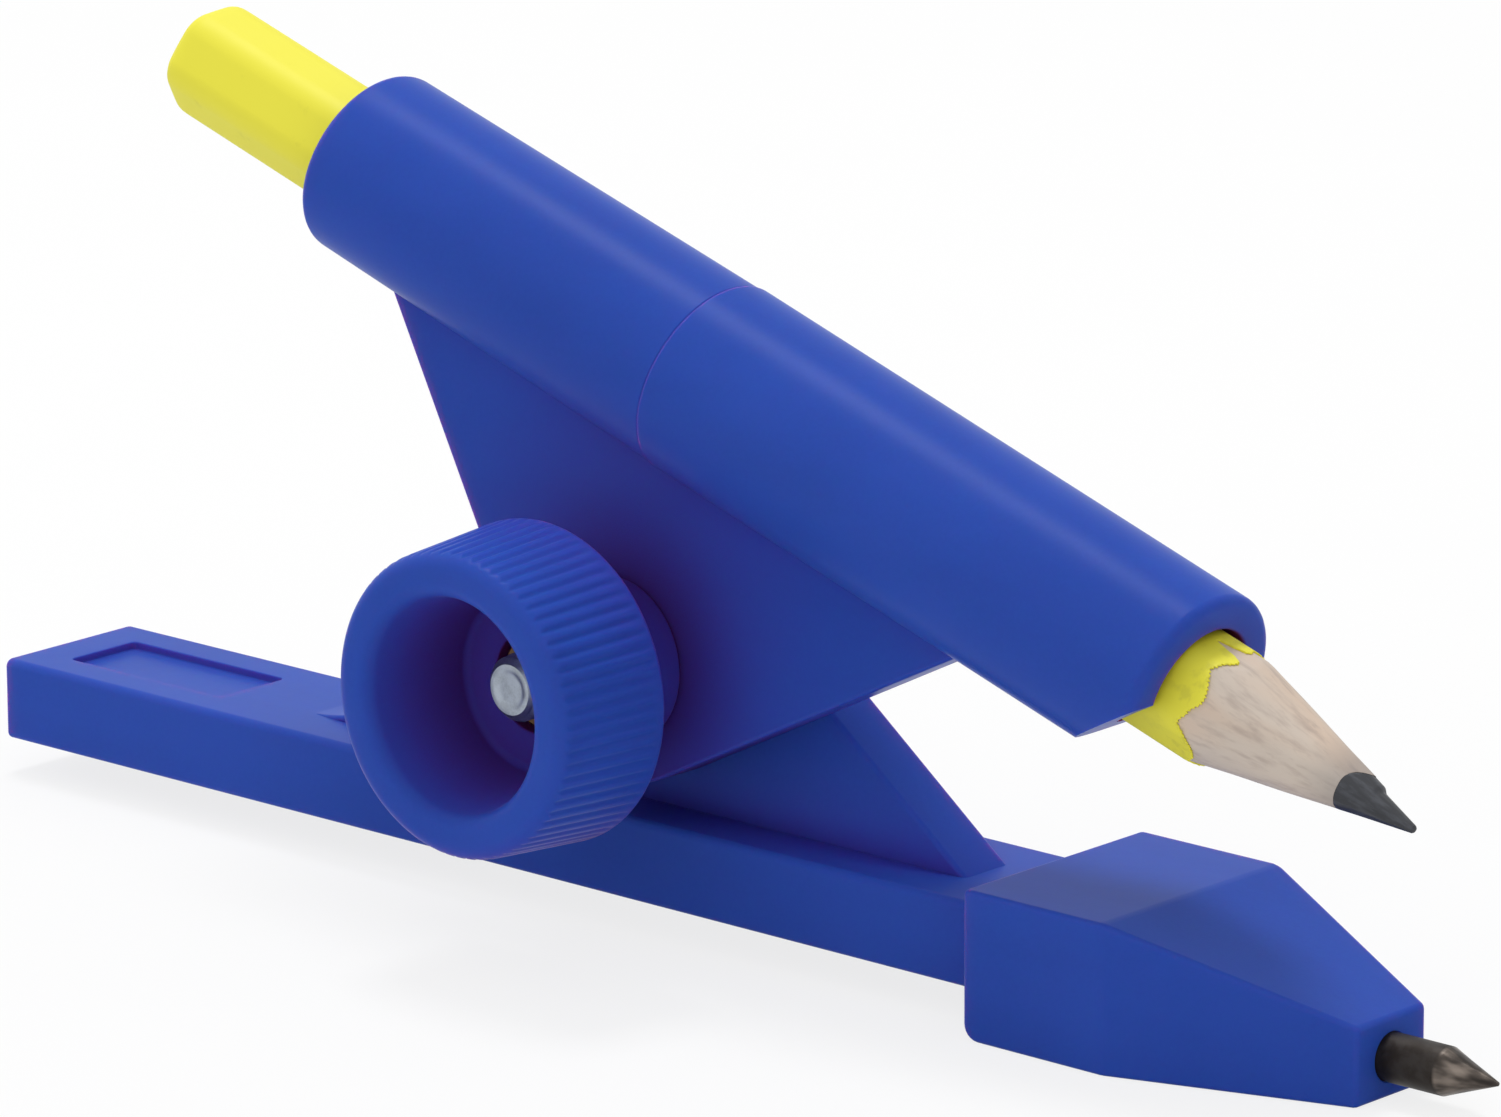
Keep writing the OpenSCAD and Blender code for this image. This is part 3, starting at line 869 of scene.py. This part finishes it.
class GAUGE_OT_holder(bpy.types.Operator):
    """Makes the pencil holder: tube, web, pivot hole and the cut under the front end"""

    bl_idname = "gauge.holder"
    bl_label = "Pencil holder"

    def execute(self, context):
        size = context.scene.gauge_holder
        knob = context.scene.gauge_knob
        half = size.web_thickness / 2
        hole = hole_cutter(knob.bolt_radius + size.bolt_room, -half, half)
        crosswise = Matrix.Rotation(math.pi / 2, 4, "X").inverted()
        hole.transform(Matrix.Translation((-TUBE_OFFSET, 0, 0)) @ crosswise)
        bm = mould(self.tube(size), joined=[self.web(size)], cut=[hole, self.wedge(size)])
        material = blue_shared(context.scene.gauge_finishes)
        finished("holder_moulding", bm, "holder", "pencil_holder", material, TUBE_FRAME)
        return {"FINISHED"}

    @staticmethod
    def tube(size):
        """The drafted tube, with a step at its parting line and rounded lips."""
        mouth = size.bore + size.flare
        rear = -size.rear_length
        front = size.front_length
        rear_mid = size.radius - size.step
        nick = 0.05 * MM
        inner_lip = 0.2 * MM
        return turned(rounded([
            (mouth, rear, inner_lip),
            (rear_mid - size.rear_draft, rear, size.lip),
            (rear_mid, -3 * nick, nick),
            (rear_mid - nick, 0, 0),
            (size.radius, nick, nick / 2),
            (size.radius - size.front_draft, front, size.lip),
            (mouth, front, inner_lip),
            (size.bore, 0, 0)]), segments=128, loop=True)

    @staticmethod
    def web(size):
        """The web between the bolt and the tube, with edges that spread at 45 degrees."""
        top = TUBE_OFFSET - (size.radius + size.bore) / 2
        low = -size.web_radius * math.sqrt(2)
        reach = top - low
        outline = rounded([(reach, top, 0), (-reach, top, 0), (0, low, size.web_radius)], 24)
        half = size.web_thickness / 2
        return plate(outline, -half, half, size.edge_round, lambda u, v, y: (v - TUBE_OFFSET, -y, u))

    @staticmethod
    def wedge(size):
        """What the slanting cut takes off under the tube's front end."""
        low = -size.radius + size.front_draft
        start = size.front_length - size.bevel
        side = 2 * size.radius
        corners = [
            (low, start),
            (low + side, start + side),
            (low - side, start + side),
            (low - side, start - side)]
        return skin([[(x, y, z) for x, z in corners] for y in (-side, side)])


class GAUGE_OT_knob(bpy.types.Operator):
    """Makes the clamp knob with its ribbed rim and its cup"""

    bl_idname = "gauge.knob"
    bl_label = "Clamp knob"

    def execute(self, context):
        size = context.scene.gauge_knob
        back = -KNOB_HIGH.y
        front = -KNOB_LOW.y
        rear = back + size.hub_length
        floor = rear + size.floor_thickness
        lip = size.rim_radius - size.rim_draft
        soft = 0.25 * MM
        section = rounded([
            (INSERT_RADIUS, back, soft / 2),
            (size.hub_radius, back, soft),
            (size.hub_radius, rear, soft),
            (size.rim_radius, rear, size.rear_round),
            (lip, front, size.lip_round),
            (size.cup_radius, front, size.lip_round),
            (size.floor_radius, floor, 2 * soft),
            (INSERT_RADIUS, floor, soft / 2)], 8)
        profile = []
        row = 0.5 * MM
        for one, two in zip(section, section[1:] + section[:1]):
            on_rim = one.x > lip - 0.5 * size.lip_round
            steps = max(1, round((two - one).length / row)) if on_rim else 1
            profile += [one.lerp(two, step / steps) for step in range(steps)]
        per_rib = 10
        bm = turned(
            [(p.x, p.y) for p in profile], size.ribs * per_rib,
            lambda turn, radius, along: self.ribbed(size, turn, radius, along, rear, front), loop=True)
        material = blue_shared(context.scene.gauge_finishes)
        finished("knob_moulding", bm, "knob", "clamp_knob", material,
                 BOLT_FRAME, crease=50)
        return {"FINISHED"}

    @staticmethod
    def ribbed(size, turn, radius, along, rear, front):
        """Radius of the rim where the rounded ribs and the grooves between them cross it."""
        straight = size.rim_radius - size.rim_draft * (along - rear) / (front - rear)
        if along < rear or radius < straight - 2 * size.rib_depth:
            return radius
        narrow = 1.6
        valley = (0.5 - 0.5 * math.cos(turn * size.ribs)) ** narrow
        start = rear + size.plain_band
        runout = 0.25 * MM
        return min(radius, straight - size.rib_depth * valley * smooth(along, start, start + runout))


class GAUGE_OT_fasteners(bpy.types.Operator):
    """Makes the clamp bolt with its thread and the knob's threaded insert"""

    bl_idname = "gauge.fasteners"
    bl_label = "Bolt and insert"

    def execute(self, context):
        size = context.scene.gauge_knob
        look = context.scene.gauge_finishes
        finished("bolt_zinc", self.bolt(size), "base", "clamp_bolt",
                 zinc_finish(look), BOLT_FRAME, crease=26)
        finished("insert_brass", self.insert(size), "knob", "brass_insert",
                 brass_finish(look), BOLT_FRAME, crease=26)
        return {"FINISHED"}

    @staticmethod
    def bolt(size):
        """Hexagon head with a chamfered crown, and a threaded shank with a chamfered tip."""
        top = -BOLT_HIGH.y
        seat = top + size.head_height
        tip = -BOLT_LOW.y
        flat = size.head_flats / 2
        corner = flat / math.cos(math.pi / 6)
        crown = (corner - flat) * math.tan(math.pi / 6)
        burr = 0.1 * MM
        thread_start = seat + MM
        chamfer = size.bolt_radius / 4
        rows_per_turn = 10
        rows = round((tip - thread_start) / (size.pitch / rows_per_turn))
        profile = [(flat - burr, top)]
        profile += zip(spread(flat, corner, 4), spread(top, top + crown, 4))
        profile += [(corner, seat - burr), (corner - burr, seat), (size.bolt_radius, seat)]
        profile += [(size.bolt_radius, along) for along in spread(thread_start, tip, rows)]
        # The end is flat, with a shallow dimple in its middle.
        profile += [
            (size.bolt_radius - 1.25 * chamfer, tip),
            (1.1 * MM, tip),
            (0.75 * MM, tip - 0.15 * MM)]
        groove_share = 0.88
        soft_corner = 0.12 * MM

        def relief(turn, radius, along):
            if along <= seat:
                return min(radius, hexagon_reach(turn, size.head_flats, soft_corner))
            if radius < size.bolt_radius - 0.01 * MM:
                return radius
            phase = (turn / (2 * math.pi) + along / size.pitch) % 1
            cut = 1 - min(abs(phase - 0.5) / (groove_share / 2), 1)
            runout = share(along, thread_start, thread_start + size.pitch)
            reach = size.bolt_radius - size.thread_depth * cut * runout
            return min(reach, size.bolt_radius - chamfer + (tip - along))

        return turned(profile, 60, relief)

    @staticmethod
    def insert(size):
        """A turned bush with a knurled outside and chamfered ends."""
        back = -INSERT_HIGH.y
        front = -INSERT_LOW.y
        outer = INSERT_RADIUS
        bore = size.bolt_radius + size.insert_room
        chamfer = size.insert_chamfer
        sink = 0.25 * MM
        profile = [(bore, front - sink), (bore + sink, front), (outer - chamfer, front)]
        profile += [(outer, along) for along in spread(front - chamfer, back + chamfer, 36)]
        profile += [(outer - chamfer, back), (bore + sink, back), (bore, back + sink)]
        ridges = 30
        lean = 1.6 * MM
        depth = 0.12 * MM

        def knurl(turn, radius, along):
            if radius < outer - 0.01 * MM:
                return radius
            waves = [abs(math.sin(turn * ridges / 2 + hand * along / lean)) for hand in (1, -1)]
            return radius - depth * (1 - max(waves))

        return turned(profile, 120, knurl, loop=True)


class GAUGE_OT_point(bpy.types.Operator):
    """Makes the steel point with its ground cone"""

    bl_idname = "gauge.point"
    bl_label = "Steel point"

    def execute(self, context):
        size = context.scene.gauge_pencil
        end = POINT_HIGH.x - POINT_LOW.x
        cone = end - size.point_cone
        chamfer = 0.15 * MM
        profile = [(POINT_RADIUS - chamfer, 0), (POINT_RADIUS, chamfer)]
        profile += [(POINT_RADIUS, along) for along in spread(0, cone, 20)[1:]]
        profile += list(zip(spread(POINT_RADIUS, size.point_tip, 16), spread(cone, end, 16)))[1:]
        bite = 0.018

        def ground(turn, reach, along):
            """Hand grinding leaves wide shallow facets, deepest in the middle of the cone."""
            facet = math.cos(7 * turn + 0.6) * 0.5 + math.cos(3 * turn + 2.1) * 0.5
            depth = math.sin(math.pi * min(share(along, cone, end) * 1.15, 1))
            return reach * (1 - bite * (1 + facet) * depth)

        bm = turned(profile, 84, ground)
        material = steel_finish(context.scene.gauge_finishes, cone)
        finished("point_pin", bm, "base", "steel_point", material, POINT_FRAME)
        return {"FINISHED"}


# Chips in the lacquer's sharpened edge: turn and half width in degrees, depth in millimetres.
CHIPS = (
    (-2, 6, 2.3),
    (24, 7, 0.15),
    (79, 8, 0.35),
    (91, 6, 0.3),
    (150, 9, 0.4),
    (205, 7, 0.9),
    (262, 12, 0.5),
)


class GAUGE_OT_pencil(bpy.types.Operator):
    """Makes the pencil: two casing slats, the lead and the chipped lacquer"""

    bl_idname = "gauge.pencil"
    bl_label = "Pencil"

    def execute(self, context):
        size = context.scene.gauge_pencil
        look = context.scene.gauge_finishes
        wood = wood_finish(look, self.cut_start(size, size.swell_turn + math.pi, size.lead / 2))
        for name, node, middle in (("slat_upper_wood", "pencil_slat_upper", 0),
                                   ("slat_lower_wood", "pencil_slat_lower", math.pi)):
            finished(name, self.slat(size, middle), "pencil", node, wood, TUBE_FRAME)
        finished("lead_graphite", self.lead(size), "pencil", "pencil_lead",
                 graphite_finish(look), TUBE_FRAME, crease=22)
        finished("lacquer_yellow", self.lacquer(size), "pencil", "pencil_lacquer",
                 lacquer_finish(look, size.front - size.edge_back), TUBE_FRAME)
        return {"FINISHED"}

    @staticmethod
    def cut(size, turn, along):
        """Distance from the axis to the sharpened surface, which stands a little proud on one side."""
        cone = size.tip + (size.front - along) * math.tan(size.sharp)
        lean = max(math.cos(turn - size.swell_turn), 0) ** 3
        behind_step = size.front - size.shoulder - along
        return cone + size.swell * lean * smooth(behind_step, -0.25 * MM, 0.15 * MM)

    @staticmethod
    def side(size, turn, skin=0.0):
        """Distance from the axis to the pencil's side, with a skin of some thickness taken off."""
        return hexagon_reach(turn - size.turn, size.flats - 2 * skin, size.corner - skin)

    def cut_start(self, size, turn, reach):
        """Station along the pencil at which the sharpened surface comes down to a reach."""
        low, high = 0.0, size.front
        for _ in range(40):
            middle = (low + high) / 2
            if self.cut(size, turn, middle) > reach:
                low = middle
            else:
                high = middle
        return low

    def slat(self, size, middle):
        """Half of the wooden casing, with its groove for the lead."""
        groove = size.lead / 2
        edge = 0.02 * MM
        rear = size.dip - size.rear
        shoulder = size.front - size.edge_back - 4 * MM
        turns = spread(middle - math.pi / 2, middle + math.pi / 2, 96)
        ends = [self.cut_start(size, turn, groove + edge) for turn in turns]

        def ring(stations, trim=0.0):
            """The slat's outline through one station at each turn, with its outside trimmed."""
            outer, inner = [], []
            for turn, along in zip(turns, stations):
                blade = 0.012 * MM * math.sin(9 * turn + along / MM)
                side = self.side(size, turn, size.lacquer) - trim
                reach = min(self.cut(size, turn, along) + blade, side)
                outer.append(polar(max(reach, groove + edge / 2), turn, along))
                inner.append(polar(groove, turn, along))
            return outer + inner[::-1]

        rings = [
            ring([rear] * len(turns), size.dip_chamfer),
            ring([rear + size.dip_chamfer] * len(turns))]
        for part in spread(0, 1, 90):
            rings.append(ring([shoulder + (end - shoulder) * part for end in ends]))
        return skin(rings)

    def lead(self, size):
        """The lead, sharpened to a slightly blunt, faceted tip with a step on its upper side."""
        radius = size.lead / 2
        rear = size.dip - size.rear
        start = self.cut_start(size, size.swell_turn + math.pi, radius) - 0.3 * MM
        nib = size.front - 0.12 * MM
        profile = [(radius, along) for along in [rear, *spread(start, nib, 70)]]
        profile += [(radius, size.front - 0.03 * MM), (0.35 * size.tip, size.front)]
        bite = 0.03

        def sharpened(turn, reach, along):
            """The blade leaves narrow facets that fade toward the wood."""
            facet = 0.8 + 0.5 * math.cos(5 * turn + 1.2) + 0.3 * math.cos(11 * turn)
            fade = smooth(along, start, start + 2 * MM)
            keen = self.cut(size, turn, along) * (1 - bite * facet * fade)
            blunt = 0.8 * size.tip if along > nib else radius
            return min(reach, keen, blunt)

        return turned(profile, 120, sharpened)

    @staticmethod
    def lacquer_edge(size, turn):
        """Station of the lacquer's edge: scalloped between the corners, chipped and a little ragged."""
        sixth = math.pi / 3
        off = ((turn - size.turn) % sixth - sixth / 2) / (sixth / 2)
        station = size.front - size.edge_back - size.scallop * off * off
        for middle, wide, deep in CHIPS:
            away = (math.degrees(turn) - middle + 180) % 360 - 180
            station -= deep * MM * math.exp(-(away / wide) ** 2)
        ragged = 0.06 * math.sin(97 * turn) + 0.04 * math.sin(211 * turn + 1)
        return station + ragged * MM

    def lacquer(self, size):
        """The lacquer: a thin coat, domed over the rear end and chipped along the sharpened edge."""
        rear = -size.rear
        count = 360
        turns = [2 * math.pi * k / count for k in range(count)]
        sides = [self.side(size, turn) for turn in turns]
        edges = [self.lacquer_edge(size, turn) for turn in turns]

        def ring(reach, along):
            """A ring round the pencil, from functions of its side and of the lacquer's edge."""
            around = zip(turns, sides, edges)
            return [polar(reach(side), turn, along(edge)) for turn, side, edge in around]

        # The dome: a superellipse in section, round at its top and six-sided at its foot.
        flat = size.flats / 2
        fullness = 3.2
        rings = []
        for turn in spread(0, math.pi / 2, 18)[1:]:
            part = math.sin(turn)
            depth = size.dip_round * (1 - (1 - part ** fullness) ** (1 / fullness))
            rings.append(ring(
                lambda side: part * (flat + part ** 2 * (side - flat)),
                lambda edge: rear + depth))
        # The coat's outside, its beaded edge, and its inside back to the casing's chamfered end.
        straight = rear + size.dip_round + 0.5 * MM
        bead = 0.05 * MM
        gap = 0.01 * MM
        inner = size.lacquer - gap
        floor = rear + size.dip - gap
        for part in (0, 0.4, 0.8, 0.95, 1):
            rings.append(ring(
                lambda side: side,
                lambda edge: straight + (edge - bead - straight) * part))
        rings += [
            ring(lambda side: side - inner / 2, lambda edge: edge),
            ring(lambda side: side - inner, lambda edge: edge - bead),
            ring(lambda side: side - inner, lambda edge: floor + size.dip_chamfer),
            ring(lambda side: side - inner - size.dip_chamfer, lambda edge: floor),
            ring(lambda side: 0.3 * MM, lambda edge: floor)]
        return skin(rings)


class GAUGE_OT_stage(bpy.types.Operator):
    """Makes the pale floor, the studio light and the camera at the photographed angle"""

    bl_idname = "gauge.stage"
    bl_label = "Studio"

    def execute(self, context):
        stage = context.scene.gauge_stage
        context.scene.view_settings.view_transform = "Standard"
        self.floor(context, stage, context.scene.gauge_finishes.floor)
        self.surroundings(context, stage)
        for name, power, side, place in (
                ("overhead", stage.key, stage.key_side, stage.key_place),
                ("front_top", stage.fill, stage.fill_side, stage.fill_place)):
            self.light(context, name, power, side, place, stage.lit_point)
        self.camera(context, stage)
        return {"FINISHED"}

    @staticmethod
    def floor(context, stage, tone):
        """A wide floor that shows white to the camera and still takes the shadow."""
        half = stage.floor_half
        gap = 0.02 * MM
        corners = (-1, -1), (1, -1), (1, 1), (-1, 1)
        mesh = bpy.data.meshes.new("studio_floor")
        mesh.from_pydata(
            [(x * half, y * half, BASE_LOW.z - gap) for x, y in corners], [], [(0, 1, 2, 3)])
        obj = bpy.data.objects.new("studio_floor", mesh)
        context.scene.collection.objects.link(obj)
        finish = Finish("pale_floor")
        dust = finish.noise(finish.coordinates(), 40)
        finish.done(Base_Color=finish.mix(dust, tone, toned(tone, 0.97)), Roughness=0.9)
        glow = finish.node("ShaderNodeEmission")
        lit = Wire(finish.shader.outputs[0])
        glowing = finish.shown() * stage.floor_glow
        blend = finish.node("ShaderNodeMixShader", None, {0: glowing, 1: lit, 2: glow})
        plug(finish.tree.nodes["Material Output"].inputs[0], blend)
        mesh.materials.append(finish.material)

    @staticmethod
    def surroundings(context, stage):
        """Soft light from all round, seen and mirrored as plain white."""
        world = bpy.data.worlds.new("studio")
        world.use_nodes = True
        context.scene.world = world
        graph = Graph(world.node_tree)
        surface = world.node_tree.nodes["Background"]
        plug(surface.inputs["Color"], (1, 1, 1))
        plug(surface.inputs["Strength"], stage.ambient + graph.shown() * (1 - stage.ambient))

    @staticmethod
    def light(context, name, power, side, place, target):
        """A square soft box that faces the gauge."""
        lamp = bpy.data.lights.new(name, "AREA")
        lamp.energy = power
        lamp.size = side
        obj = bpy.data.objects.new(name, lamp)
        turn = (place - target).to_track_quat("Z", "Y").to_matrix().to_4x4()
        obj.matrix_world = Matrix.Translation(place) @ turn
        context.scene.collection.objects.link(obj)

    @staticmethod
    def camera(context, stage):
        """The camera, placed so that the aim point falls on its pixel."""
        turn, lift = stage.azimuth, stage.elevation
        right = Vector((math.cos(turn), math.sin(turn), 0))
        ahead = Vector((-math.sin(turn), math.cos(turn), 0))
        look = ahead * math.cos(lift) - UP * math.sin(lift)
        down = look.cross(right)
        across = right * math.cos(stage.roll) - down * math.sin(stage.roll)
        below = right * math.sin(stage.roll) + down * math.cos(stage.roll)
        pixel = MM / stage.scale
        place = stage.aim - look * stage.distance
        place -= across * ((stage.aim_u - IMAGE_W / 2) * pixel)
        place -= below * ((stage.aim_v - IMAGE_H / 2) * pixel)
        lens = bpy.data.cameras.new("photo_camera")
        lens.sensor_width = 36
        lens.lens = lens.sensor_width * stage.scale * (stage.distance / MM) / IMAGE_W
        lens.clip_start = 0.01
        obj = bpy.data.objects.new("photo_camera", lens)
        obj.matrix_world = upright_frame(place, across, -below, -look)
        context.scene.collection.objects.link(obj)
        context.scene.camera = obj


OPERATORS = (
    GAUGE_OT_base,
    GAUGE_OT_holder,
    GAUGE_OT_knob,
    GAUGE_OT_fasteners,
    GAUGE_OT_point,
    GAUGE_OT_pencil,
    GAUGE_OT_stage,
)


class GAUGE_PT_panel(bpy.types.Panel):
    """Lists the gauge's pieces and their sizes"""

    bl_idname = "GAUGE_PT_panel"
    bl_label = "Marking gauge"
    bl_space_type = "VIEW_3D"
    bl_region_type = "UI"
    bl_category = "Gauge"

    def draw(self, context):
        for operator in OPERATORS:
            self.layout.operator(operator.bl_idname)
        for name, group in GROUPS.items():
            box = self.layout.box()
            box.label(text=group.__doc__)
            for item in group.__annotations__:
                box.prop(getattr(context.scene, name), item)


def register():
    for group in GROUPS.values():
        bpy.utils.register_class(group)
    for name, group in GROUPS.items():
        setattr(bpy.types.Scene, name, PointerProperty(type=group))
    for operator in OPERATORS:
        bpy.utils.register_class(operator)
    bpy.utils.register_class(GAUGE_PT_panel)


def unregister():
    bpy.utils.unregister_class(GAUGE_PT_panel)
    for operator in reversed(OPERATORS):
        bpy.utils.unregister_class(operator)
    for name in GROUPS:
        delattr(bpy.types.Scene, name)
    for group in reversed(GROUPS.values()):
        bpy.utils.unregister_class(group)


def main():
    """Registers the classes and builds every piece in order."""
    register()
    for operator in OPERATORS:
        group, name = operator.bl_idname.split(".")
        getattr(getattr(bpy.ops, group), name)()


if __name__ == "__main__":
    main()
